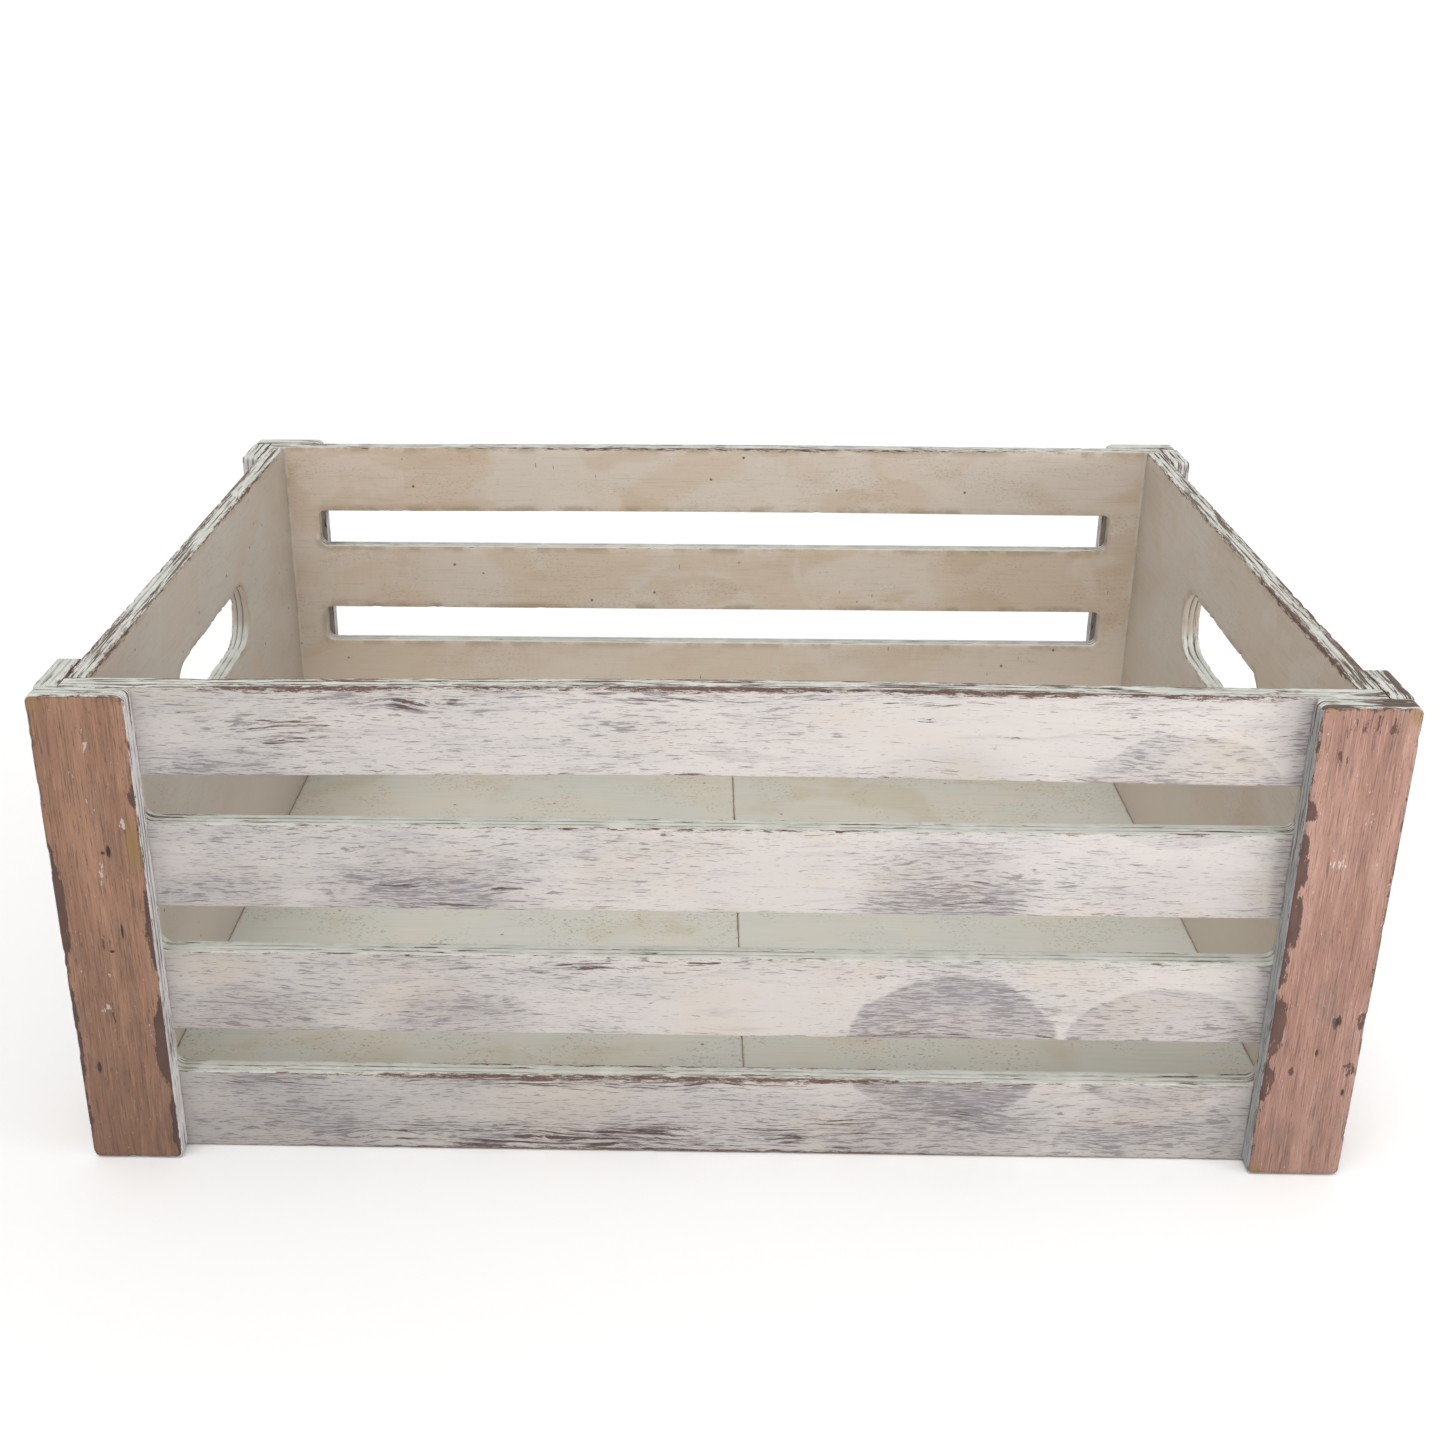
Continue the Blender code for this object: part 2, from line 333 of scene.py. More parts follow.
def board_object(name, node, place, faces, attribute_values):
    """The board's mesh object, riding on the crate in the place of its CAD node."""
    mesh = bpy.data.meshes.new(name)
    mesh.from_pydata((place / MM).tolist(), [], faces)
    attribute = mesh.attributes.new("board", "FLOAT_VECTOR", "POINT")
    attribute.data.foreach_set(
        "vector", np.stack(attribute_values, axis=1).astype(np.float32).ravel())
    mesh.shade_smooth()
    mesh.set_sharp_from_angle(angle=math.radians(50))
    board = bpy.data.objects.new(name, mesh)
    bpy.context.scene.collection.objects.link(board)
    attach(board, "root")
    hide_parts(node)
    return board


# ---------------------------------------------------------------- paint
class Paint:
    """One piece's material as a graph of shader nodes. Sizes are millimetres."""

    def __init__(self, name, seed, thick=7.0, thin_axis=1):
        self.material = bpy.data.materials.new(name)
        self.material.use_nodes = True
        self.tree = self.material.node_tree
        self.shader = self.tree.nodes["Principled BSDF"]
        self.seed = seed
        self.thick = thick
        self.thin_axis = thin_axis
        self.at = self.vector("MULTIPLY", self.node("TexCoord").outputs["Object"], (MM,) * 3)
        self.axes = self.split(self.at)
        board = self.node("Attribute", {"attribute_name": "board"}).outputs["Vector"]
        self.arris, self.depth, self.chip = self.split(board)
        parts = list(self.axes)
        parts[thin_axis] = self.depth
        self.layered = self.join(*parts)
        parts[thin_axis] = self.arris
        self.corner = self.join(*parts)
        self.ragged = self.math("MULTIPLY_ADD", self.noise((14, 14, 14), 50.0, 3), 0.24, -0.12)
        self.up = self.split(self.node("NewGeometry").outputs["True Normal"])[2]

    def thin(self, along, across):
        """Noise size that is short through the board only."""
        return on_axis(self.thin_axis, across, along)

    def node(self, kind, settings=None, inputs=()):
        """A new shader node with its settings, and its inputs linked or set."""
        made = self.tree.nodes.new("ShaderNode" + kind)
        for key, value in (settings or {}).items():
            setattr(made, key, value)
        for key, value in dict(inputs).items():
            self.put(made.inputs[key], value)
        return made

    def put(self, socket, value):
        """Links an output to a socket, or sets the socket to a value."""
        if isinstance(value, bpy.types.NodeSocket):
            self.tree.links.new(value, socket)
        elif socket.type == "RGBA":
            socket.default_value = (*value, 1.0)
        else:
            socket.default_value = value

    def math(self, operation, a, b=0.0, c=0.0):
        return self.node("Math", {"operation": operation}, {0: a, 1: b, 2: c}).outputs[0]

    def add(self, *values):
        total = values[0]
        for value in values[1:]:
            total = self.math("ADD", total, value)
        return total

    def times(self, a, b):
        return self.math("MULTIPLY", a, b)

    def most(self, *values):
        total = values[0]
        for value in values[1:]:
            total = self.math("MAXIMUM", total, value)
        return total

    def vector(self, operation, a, b=(0, 0, 0), c=(0, 0, 0)):
        made = self.node("VectorMath", {"operation": operation}, {0: a, 1: b, 2: c})
        return made.outputs["Value" if operation == "LENGTH" else "Vector"]

    def split(self, value):
        return self.node("SeparateXYZ", None, {0: value}).outputs[:]

    def join(self, x, y, z):
        return self.node("CombineXYZ", None, {0: x, 1: y, 2: z}).outputs[0]

    def mix(self, share, a, b, blend="MIX"):
        made = self.node("Mix", {"data_type": "RGBA", "blend_type": blend},
                         {0: share, 6: a, 7: b})
        return made.outputs[2]

    def step(self, value, low, high, start=0.0, end=1.0):
        """A smooth change from start to end as value goes from low to high."""
        made = self.node("MapRange", {"interpolation_type": "SMOOTHSTEP"},
                         {0: value, 1: low, 2: high, 3: start, 4: end})
        return made.outputs[0]

    def noise(self, size, salt, detail=3.0, rough=0.55, warp=0.0, at=None):
        """Noise about 0.5 whose grain is size millimetres along each axis. Salt keeps it apart from
        the material's other noise."""
        offset = tuple(self.seed * k + salt for k in (7.31, 3.17, 5.71))
        where = self.vector("MULTIPLY_ADD", at or self.at, tuple(1 / s for s in size), offset)
        made = self.node("TexNoise", None, {"Vector": where, "Scale": 1.0, "Detail": detail,
                                            "Roughness": rough, "Distortion": warp})
        return made.outputs[0]

    def specks(self, spacing, radius, share, salt, stretch=(1, 1, 1)):
        """Scattered small marks, on a share of cells spacing millimetres apart."""
        offset = tuple(self.seed * k + salt for k in (2.7, 9.1, 4.3))
        where = self.vector("MULTIPLY_ADD", self.at,
                            tuple(1 / (spacing * s) for s in stretch), offset)
        made = self.node("TexVoronoi", None, {"Vector": where, "Scale": 1.0})
        dot = self.step(made.outputs["Distance"], radius / spacing, 0.4 * radius / spacing)
        chosen = self.step(self.split(made.outputs["Color"])[0], share + 0.02, share)
        return self.times(dot, chosen)

    def spot(self, centre, radii, soft):
        """An oval patch: 1 inside and 0 outside, with its edge soft across that share of it.
        A radius of None leaves that axis out."""
        scale = tuple(0 if r is None else 1 / r for r in radii)
        offset = tuple(-c * k for c, k in zip(centre, scale))
        where = self.vector("MULTIPLY_ADD", self.at, scale, offset)
        off = self.add(self.vector("LENGTH", where), self.ragged)
        return self.step(off, 1.0, 1.0 - soft)

    def spots(self, patches, axes, soft):
        """The strongest of several ovals, each (u, v, half length, half height, strength)."""
        total = None
        for u, v, ru, rv, strength in patches:
            centre, radii = [0, 0, 0], [None, None, None]
            centre[axes[0]], centre[axes[1]] = u, v
            radii[axes[0]], radii[axes[1]] = ru, rv
            one = self.times(self.spot(centre, radii, soft), strength)
            total = one if total is None else self.most(total, one)
        return total

    def finish(self, colour, rough, height, bump=0.35):
        """Joins the colour, roughness and bump height to the shader."""
        self.put(self.shader.inputs["Base Color"], colour)
        self.put(self.shader.inputs["Roughness"], rough)
        made = self.node("Bump", None, {"Strength": bump, "Distance": 0.0004, "Height": height})
        self.put(self.shader.inputs["Normal"], made.outputs[0])
        return self.material


def size_on(axes, along, across, other=None):
    """Noise size with its long side on the grain's axis."""
    size = [across] * 3 if other is None else [other] * 3
    size[axes[0]], size[axes[1]] = along, across
    return tuple(size)


def on_axis(axis, value, other):
    """Three values, with one of them for that axis and the other for the rest."""
    return tuple(value if k == axis else other for k in range(3))


def shaded(colour, *factors):
    """A colour times one factor, or times a factor for each of its three parts."""
    factors = factors * 3 if len(factors) == 1 else factors
    return tuple(part * factor for part, factor in zip(colour, factors))


# Colours, as linear red, green and blue. Cut edges:
MINT = (0.545, 0.56, 0.505)
MINT_PALE = (0.63, 0.635, 0.59)
LILAC_GREY = (0.56, 0.535, 0.535)
TAN_EDGE = (0.47, 0.40, 0.335)
# Grey paint of the front right plank's inner edge, darkened as painted shade of a face turned from
# the light
SHADED_EDGE_GREY = (0.33, 0.335, 0.335)
PLY_TOP = (0.20, 0.195, 0.17)
PLY_SIDE = (0.13, 0.13, 0.125)
EDGE_DARK = (0.055, 0.042, 0.035)
EDGE_BROWN = (0.16, 0.105, 0.072)
# Worn corner lines:
WOOD_DARK = (0.075, 0.045, 0.04)
WOOD_RUST = (0.165, 0.095, 0.072)
CORNER_RUST = (0.13, 0.07, 0.052)
CORNER_PALE = (0.72, 0.68, 0.62)
HALO_TAN = (0.36, 0.27, 0.20)
# Outside of a wall:
PAINT_WHITE = (0.64, 0.59, 0.562)
PAINT_CREAM = (0.625, 0.562, 0.49)
PAINT_HAZE = (0.545, 0.522, 0.515)
# Darkening of stains, smudges and the painted shadow beside the front right plank
STAIN_AND_SHADOW_TINT = (0.80, 0.795, 0.81)
GRAIN_GREY = (0.175, 0.148, 0.162)
PORE_GREY = (0.22, 0.18, 0.19)
STREAK_GREY = (0.36, 0.345, 0.37)
BARE_DARK = (0.05, 0.03, 0.032)
BARE_BROWN = (0.15, 0.088, 0.072)
DOT_BROWN = (0.13, 0.09, 0.085)
# Inside of a wall:
RIM_TAN = (0.36, 0.28, 0.17)
MARK_BROWN = (0.13, 0.085, 0.06)
SCRATCH_BROWN = (0.20, 0.15, 0.11)
# Corner planks:
OCHRE = (0.30, 0.19, 0.055)
FLECK_DARK = (0.075, 0.042, 0.04)
FLECK_PALE = (0.60, 0.50, 0.46)
SCRAPE_WHITE = (0.62, 0.55, 0.52)
CHIP_DARK = (0.055, 0.028, 0.025)
CHIP_RUST = (0.16, 0.075, 0.055)
GOUGE_BLACK = (0.03, 0.024, 0.024)
RAW_DARK = (0.24, 0.20, 0.175)
RAW_PALE = (0.40, 0.35, 0.31)
# Floor and nails:
FLOOR_MINT = (0.585, 0.59, 0.545)
FLOOR_CREAM = (0.61, 0.59, 0.52)
FLOOR_STAIN = (0.53, 0.47, 0.34)
FLOOR_GRAIN = (0.40, 0.38, 0.31)
FLOOR_PALE = (0.68, 0.70, 0.63)
FLOOR_GRIT = (0.30, 0.22, 0.12)
FLOOR_MARK = (0.20, 0.12, 0.07)
SEAM_BROWN = (0.30, 0.20, 0.12)
STEEL_DARK = (0.42, 0.41, 0.40)
STEEL_PALE = (0.62, 0.61, 0.59)
STEEL_RUST = (0.30, 0.13, 0.06)


def shade_low_and_left(p, colour, shade_left_end):
    """Painted shade: darkens a painted face towards the floor and, if asked, towards its left end.
    """
    # Painted shade, darker towards the floor
    low = p.step(p.add(p.axes[2], p.times(p.noise((60, 60, 30), 60.0, 2), 14)), 20, 52, 0.13, 0.0)
    high = p.step(p.axes[2], 40, 130, 0.07, 0.0)
    dull = p.add(low, high)
    # Painted shade, darker towards the left end
    if shade_left_end:
        dull = p.add(dull, p.step(p.axes[0], -190, 10, 0.16, 0.0))
    keep = p.math("SUBTRACT", 1.0, dull)
    return p.mix(1.0, colour, p.join(keep, keep, keep), "MULTIPLY")


def cut_edge(p, wear, plies=(0.75, 0.75), side_colour=TAN_EDGE, side_wear=-0.05, dash=19):
    """Paint of the cut edges: mint on top, duller at the sides, with ply lines and worn dashes."""
    tone = p.noise((9, 9, 9), 1.0, 3)
    mint = p.mix(p.step(tone, 0.4, 0.62), MINT, MINT_PALE)
    on_top = p.step(p.up, 0.35, 0.7)
    side = p.mix(p.step(tone, 0.46, 0.66, 0, 0.6), side_colour, shaded(side_colour, 0.72))
    base = p.mix(on_top, side, mint)
    waver = p.math("MULTIPLY_ADD", p.noise((16, 16, 16), 2.0, 2), 1.0, -0.5)
    lines = None
    for share in PLIES:
        off = p.math("ABSOLUTE", p.math("SUBTRACT", p.add(p.depth, waver), p.thick * share))
        line = p.step(off, 0.42, 0.12)
        lines = line if lines is None else p.most(lines, line)
    lines = p.times(lines, p.step(p.noise((14, 14, 14), 3.0, 3), 0.38, 0.54))
    shade = p.step(on_top, 0, 1, plies[1], plies[0])
    base = p.mix(p.times(lines, shade), base, p.mix(on_top, PLY_SIDE, PLY_TOP))
    fibres = p.noise(p.thin(12, 0.42), 4.0, 3, 0.6, at=p.layered)
    base = p.mix(p.step(fibres, 0.54, 0.72, 0, 0.22), base, shaded(side_colour, 0.66))
    dashes = p.noise(p.thin(dash, 1.15), 5.0, 5, 0.66, at=p.layered)
    level = p.add(wear, p.step(on_top, 0, 1, side_wear, 0))
    worn = p.step(p.add(dashes, level, p.times(lines, 0.02)), 0.604, 0.622)
    dark = p.mix(p.noise((5, 5, 5), 6.0), EDGE_DARK, EDGE_BROWN)
    return p.mix(worn, base, dark), lines


def corner_wear(p, level, reach=1.0):
    """Wood bared in dashes along a board's corner lines, and where its shape is chipped."""
    ragged = p.noise(p.thin(5, 0.7 * reach), 20.0, 7, 0.82, at=p.corner)
    near = p.times(p.math("ABSOLUTE", p.arris), -0.085 / reach)
    value = p.add(p.times(p.chip, 0.10), ragged, near, level)
    return p.step(value, 0.575, 0.59)


def band_face(p, axes, stains, smudges_and_shadow, worn, clean):
    """Off-white paint rubbed thin over brown wood, with grain along the board."""
    drift = p.math("MULTIPLY_ADD", p.noise(size_on(axes, 60, 11, 60), 1, 2), 9.0, -4.5)
    parts = list(p.axes)
    parts[axes[1]] = p.add(parts[axes[1]], drift)
    grain_at = p.join(*parts)
    density = p.noise(size_on(axes, 42, 13, 42), 2, 3)
    haze = p.step(density, 0.38, 0.64)
    # Stains and smudges; on the front one smudge is the painted shadow of the right corner plank
    stain = p.most(p.spots(stains, axes, 0.05), p.spots(smudges_and_shadow, axes, 0.55))
    rub = p.spots(worn, axes, 0.8)
    cleaner = p.spots(clean, axes, 0.8)
    haze = p.times(haze, p.math("SUBTRACT", 1.0, cleaner))
    fresh = p.times(cleaner, -0.05)

    base = p.mix(p.step(p.noise(size_on(axes, 38, 20, 38), 3, 2), 0.46, 0.68, 0, 0.8),
                 PAINT_WHITE, PAINT_CREAM)
    base = p.mix(p.times(haze, 0.5), base, PAINT_HAZE)
    base = p.mix(stain, base, STAIN_AND_SHADOW_TINT, "MULTIPLY")

    streaky = p.noise(size_on(axes, 8, 0.62), 5, 4, 0.64, at=grain_at)
    extra = p.add(p.times(haze, 0.055), p.times(stain, 0.085), p.times(rub, 0.6), fresh)
    dashes = p.step(p.add(streaky, extra), 0.60, 0.66)
    colour = p.mix(p.times(dashes, 0.66), base, GRAIN_GREY)
    pores = p.noise(size_on(axes, 3.0, 0.36), 6, 2, 0.55)
    pores = p.step(p.add(pores, p.times(haze, 0.03), p.times(stain, 0.04), fresh), 0.62, 0.68)
    colour = p.mix(p.times(pores, 0.5), colour, PORE_GREY)
    soft = p.noise(size_on(axes, 26, 1.7), 7, 4, 0.62, at=grain_at)
    soft = p.step(p.add(soft, p.times(stain, 0.04)), 0.52, 0.72)
    colour = p.mix(p.times(soft, 0.42), colour, STREAK_GREY)

    rubbed = p.noise(size_on(axes, 20, 0.85), 8, 6, 0.70, at=grain_at)
    near = p.step(p.arris, 6.0, 0.4, 0, 0.03)
    bare = p.step(p.add(rubbed, near, rub), 0.645, 0.68)
    dark = p.mix(p.noise(size_on(axes, 6, 2), 9), BARE_DARK, BARE_BROWN)
    colour = p.mix(p.times(bare, 0.95), colour, dark)
    dots = p.specks(17, 0.75, 0.22, 10, on_axis(axes[0], 1.8, 1.0))
    colour = p.mix(p.times(dots, 0.8), colour, DOT_BROWN)
    height = p.add(p.times(streaky, -0.45), p.times(bare, -0.5), p.times(dots, -0.6))
    # Painted shade towards the floor and, on the front and back, towards the left end
    return shade_low_and_left(p, colour, axes[0] == 0), height, bare


def wall_face(p, axes, tan, grey, blotch, scratches=0.36):
    """Smooth thin paint of the inside, with tan blotches, faint grain and small marks."""
    runs = p.math("MULTIPLY_ADD", p.noise(size_on(axes, 3.5, 14, 3.5), 48, 2), 0.14, -0.07)
    cloud = p.add(p.noise(size_on(axes, 70, 42, 70), 41, 1.5, 0.5, 0.8), runs)
    base = p.mix(p.step(cloud, 0.45, 0.55), grey, tan)
    warm = p.noise(size_on(axes, 46, 20, 46), 42, 2, 0.5, 0.4)
    deep = shaded(tan, 0.90, 0.83, 0.75)
    base = p.mix(p.step(warm, 0.52, 0.62, 0, blotch), base, deep)
    pale = p.add(p.noise(size_on(axes, 40, 26, 40), 43, 2, 0.5, 0.6), runs)
    fair = shaded(grey, 1.06, 1.06, 1.08)
    base = p.mix(p.step(pale, 0.56, 0.62, 0, 0.5), base, fair)
    grain = p.noise(size_on(axes, 16, 0.8), 44, 4, 0.6)
    base = p.mix(p.step(grain, 0.54, 0.72, 0, 0.32), base, shaded(tan, 0.66))
    base = p.mix(p.step(grain, 0.46, 0.30, 0, 0.22), base, shaded(grey, 1.15))
    fine = p.noise(size_on(axes, 1.1, 0.5), 45, 3, 0.6)
    crowd = p.step(p.noise(size_on(axes, 34, 15, 34), 50, 3), 0.48, 0.62, 0.02, 0.09)
    base = p.mix(p.step(p.add(fine, crowd), 0.63, 0.74, 0, 0.45), base, shaded(tan, 0.50))
    rim = p.times(p.step(p.arris, 4, 0.2), p.step(p.noise((11, 11, 11), 49, 4), 0.44, 0.6))
    base = p.mix(p.times(rim, 0.6), base, RIM_TAN)
    # Painted light: paler towards the floor, lifting the shade low in the box
    base = p.mix(p.step(p.axes[2], 90, 25, 0, 0.9), base, shaded(grey, 1.18))
    marks = p.specks(11, 0.85, scratches, 46)
    base = p.mix(p.times(marks, 0.9), base, MARK_BROWN)
    scratch = p.specks(15, 0.95, scratches * 0.8, 47, on_axis(axes[0], 0.3, 1.6))
    base = p.mix(p.times(scratch, 0.8), base, SCRATCH_BROWN)
    height = p.add(p.times(grain, -0.25), p.times(marks, -0.6), p.times(scratch, -0.5))
    return base, height


def plank_face(p, axes, light, deep, gouges, chips, ochre, scrapes):
    """Red-brown stained face of a corner plank with upright grain."""
    drift = p.math("MULTIPLY_ADD", p.noise(size_on(axes, 60, 9, 60), 1.0, 2), 3.0, -1.5)
    parts = list(p.axes)
    parts[axes[1]] = p.add(parts[axes[1]], drift)
    grain_at = p.join(*parts)
    tone = p.noise(size_on(axes, 70, 9, 70), 2.0, 3)
    base = p.mix(p.step(tone, 0.38, 0.62), deep, light)
    smoke = p.noise(size_on(axes, 24, 8, 24), 5.0, 3)
    base = p.mix(p.step(smoke, 0.54, 0.70, 0, 0.5), base, shaded(deep, 0.72, 0.86, 0.95))
    broad = p.noise(size_on(axes, 50, 1.9), 4.0, 4, 0.62, at=grain_at)
    base = p.mix(p.step(broad, 0.52, 0.68, 0, 0.38), base, shaded(deep, 0.62))
    base = p.mix(p.step(broad, 0.46, 0.34, 0, 0.30), base, shaded(light, 1.28))
    fibres = p.noise(size_on(axes, 13, 0.5), 3.0, 4, 0.68, at=grain_at)
    base = p.mix(p.step(fibres, 0.53, 0.65, 0, 0.75), base, shaded(deep, 0.44))
    base = p.mix(p.step(fibres, 0.46, 0.34, 0, 0.50), base, shaded(light, 1.38, 1.46, 1.52))
    pores = p.noise(size_on(axes, 3.0, 0.36), 6.0, 2)
    base = p.mix(p.step(pores, 0.62, 0.70, 0, 0.55), base, shaded(deep, 0.36))
    if ochre:
        gold = p.times(p.spots(ochre, axes[::-1], 0.7), p.step(fibres, 0.62, 0.45, 0.35, 1.0))
        base = p.mix(gold, base, OCHRE)
    flecks = p.specks(11, 0.62, 0.30, 7.0, on_axis(axes[0], 2.4, 1))
    base = p.mix(p.times(flecks, 0.8), base, FLECK_DARK)
    pale = p.specks(12, 0.45, 0.25, 8.0, on_axis(axes[0], 1.5, 1))
    base = p.mix(p.times(pale, 0.7), base, FLECK_PALE)
    if scrapes:
        scraped = p.step(p.add(p.noise(size_on(axes, 2.4, 0.9), 11.0, 3),
                               p.times(p.spots(scrapes, axes[::-1], 0.8), 0.24)), 0.71, 0.75)
        base = p.mix(p.times(scraped, 0.8), base, SCRAPE_WHITE)
    ragged = p.noise(size_on(axes, 6.5, 1.5, 4), 9.0, 5, 0.75)
    patch = p.spots(chips, axes[::-1], 0.6) if chips else 0.0
    near = p.step(p.arris, 2.2, 0.1, 0, 0.12)
    bare = p.step(p.add(ragged, patch, near), 0.675, 0.705)
    base = p.mix(bare, base, p.mix(p.noise((3, 3, 6), 10.0), CHIP_DARK, CHIP_RUST))
    if gouges:
        hole = p.spots([(g[0], g[1], g[2][0] * 1.1, g[2][1] * 1.1, 0.95) for g in gouges],
                       axes[::-1], 0.5)
        base = p.mix(hole, base, GOUGE_BLACK)
    height = p.add(p.times(fibres, -0.7), p.times(bare, -0.6), p.times(flecks, -0.6))
    # Painted shade towards the floor and, on the front and back planks, towards the left end
    return shade_low_and_left(p, base, axes[1] == 0), height


def panel_material(name, seed, axes, thin_axis, thick, marks, rim_wear, corner_level, inside,
                   corner_at, calm, dash=19):
    """Paint of a wall panel: distressed outside, smooth inside, mint cut edges. A pale line runs
    where walls meet inside, pale paint that is also painted light over the shade of the groove
    there, and calm patches have less worn cut edges."""
    p = Paint(name, seed, thick, thin_axis)
    outer, outer_height, bare = band_face(p, axes, *marks[:3], marks[4])
    inner, inner_height = wall_face(p, axes, *inside)
    away = p.math("SUBTRACT", p.math("ABSOLUTE", p.axes[axes[0]]), corner_at)
    # Pale line where walls meet inside: pale paint, and painted light over the groove's shade
    line = p.times(p.step(away, -1.1, -0.5), p.step(p.noise((9, 9, 9), 31.0), 0.38, 0.55))
    inner = p.mix(p.times(line, 0.8), inner, CORNER_PALE)
    rim_wear = p.math("SUBTRACT", rim_wear, p.spots(calm, axes, 0.2))
    edge, lines = cut_edge(p, rim_wear, dash=dash)
    is_inner = p.step(p.depth, p.thick * 0.5 - 0.1, p.thick * 0.5 + 0.1)
    is_cut = p.step(p.arris, 0.12, -0.12)
    colour = p.mix(is_inner, outer, inner)
    colour = p.mix(is_cut, colour, edge)
    level = p.add(corner_level, p.times(is_inner, -0.04), p.spots(marks[3], axes, 0.7))
    wear = corner_wear(p, level)
    halo = corner_wear(p, p.add(level, 0.05))
    colour = p.mix(p.times(halo, 0.4), colour, HALO_TAN)
    colour = p.mix(wear, colour, p.mix(p.noise((4, 4, 4), 33.0), WOOD_DARK, WOOD_RUST))
    flat = p.math("SUBTRACT", 1.0, is_cut)
    height = p.times(flat, p.mix(is_inner, outer_height, inner_height))
    height = p.add(height, p.times(p.times(is_cut, lines), -0.8), p.times(wear, -0.5))
    rough = p.add(0.50, p.times(p.noise((12, 12, 12), 35.0), 0.14), p.times(wear, 0.2),
                  p.times(bare, 0.12))
    return p.finish(colour, rough, height)


def plank_material(name, seed, axes, thin_axis, thick, tones, marks, rim_wear, side_colour):
    """Stain of a corner plank and the paint on its cut edges."""
    p = Paint(name, seed, thick, thin_axis)
    *marks, top_marks = marks
    face, face_height = plank_face(p, axes, *tones, *marks)
    if top_marks:
        rubbed = p.times(p.spots(top_marks, (0, 1), 0.7), p.step(p.up, 0.35, 0.7))
        rim_wear = p.add(rim_wear, rubbed)
    edge, lines = cut_edge(p, rim_wear, (0.5, 0.95), side_colour, 0.0)
    is_cut = p.step(p.arris, 0.15, -0.15)
    raw = p.mix(p.noise((9, 9, 9), 36.0, 4), RAW_DARK, RAW_PALE)
    face = p.mix(p.step(p.depth, p.thick * 0.5 - 0.1, p.thick * 0.5 + 0.1), face, raw)
    colour = p.mix(is_cut, face, edge)
    wear = corner_wear(p, p.step(p.axes[2], 158, 161, 0.045, 0.08), 1.1)
    colour = p.mix(wear, colour, p.mix(p.noise((4, 4, 4), 33.0), WOOD_DARK, CORNER_RUST))
    height = p.times(p.math("SUBTRACT", 1.0, is_cut), face_height)
    height = p.add(height, p.times(p.times(is_cut, lines), -0.8), p.times(wear, -0.5))
    rough = p.add(0.52, p.times(p.noise((9, 9, 9), 35.0), 0.16), p.times(wear, 0.2))
    return p.finish(colour, rough, height)


def floor_material(name, seed, thick):
    """Mint-grey floor paint with warm stains and brown specks."""
    p = Paint(name, seed, thick, 2)
    cloud = p.noise((52, 38, 52), 1.0, 2, 0.5, 0.6)
    base = p.mix(p.step(cloud, 0.42, 0.62), FLOOR_MINT, FLOOR_CREAM)
    warm = p.noise((34, 30, 34), 2.0, 3, 0.5, 0.5)
    base = p.mix(p.step(warm, 0.52, 0.70, 0, 0.55), base, FLOOR_STAIN)
    grain = p.noise((24, 1.1, 4), 3.0, 4, 0.6)
    base = p.mix(p.step(grain, 0.52, 0.74, 0, 0.22), base, FLOOR_GRAIN)
    base = p.mix(p.step(grain, 0.46, 0.30, 0, 0.25), base, FLOOR_PALE)
    crowd = p.step(p.noise((26, 26, 26), 4.0, 2), 0.42, 0.60)
    grit = p.noise((1.3, 1.0, 1.0), 5.0, 3, 0.6)
    base = p.mix(p.times(p.step(grit, 0.57, 0.66), p.times(crowd, 0.7)), base, FLOOR_GRIT)
    marks = p.specks(11, 0.9, 0.34, 6.0)
    base = p.mix(p.times(marks, 0.8), base, FLOOR_MARK)
    edge, _ = cut_edge(p, -0.02)
    base = p.mix(p.step(p.arris, 0.1, -0.1), base, edge)
    seam = p.step(p.arris, 0.9, 0.1)
    seam = p.times(seam, p.step(p.noise((8, 8, 8), 7.0), 0.36, 0.56, 0.1, 0.5))
    base = p.mix(seam, base, SEAM_BROWN)
    height = p.add(p.times(grain, -0.25), p.times(marks, -0.6))
    return p.finish(base, p.add(0.48, p.times(warm, 0.16)), height)


def steel_material(name, seed):
    """Drawn steel of a nail, dull along its length with a little rust."""
    p = Paint(name, seed)
    drawn = p.noise((0.5, 0.5, 6), 1.0, 3)
    rust = p.step(p.noise((1.6, 1.6, 1.6), 2.0, 4), 0.56, 0.66, 0, 0.7)
    colour = p.mix(rust, p.mix(drawn, STEEL_DARK, STEEL_PALE), STEEL_RUST)
    p.shader.inputs["Metallic"].default_value = 1.0
    return p.finish(colour, p.add(0.30, p.times(rust, 0.3), p.times(drawn, 0.12)), drawn, 0.15)


# ---------------------------------------------------------------- the crate
def slots(node):
    """The three slots of a long panel, read from its height: four equal bands between them."""
    low, high = (np.array(c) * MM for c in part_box(node))
    band = (high[2] - low[2] - 3 * SLOT_H) / 4
    return [(-SLOT_HALF, band + k * (band + SLOT_H), SLOT_HALF, (k + 1) * (band + SLOT_H), SLOT_R)
            for k in range(3)]


GRIP = (-GRIP_L / 2, GRIP_Z - GRIP_H / 2, GRIP_L / 2, GRIP_Z + GRIP_H / 2, GRIP_R)

# Stretches of cut edge that are less worn than the top rim: the hand hole and the slots
GRIP_CALM = [(0, GRIP_Z, 60, 22, 0.10)]
SILL_CALM = [(0, 72, 260, 66, 0.08)]
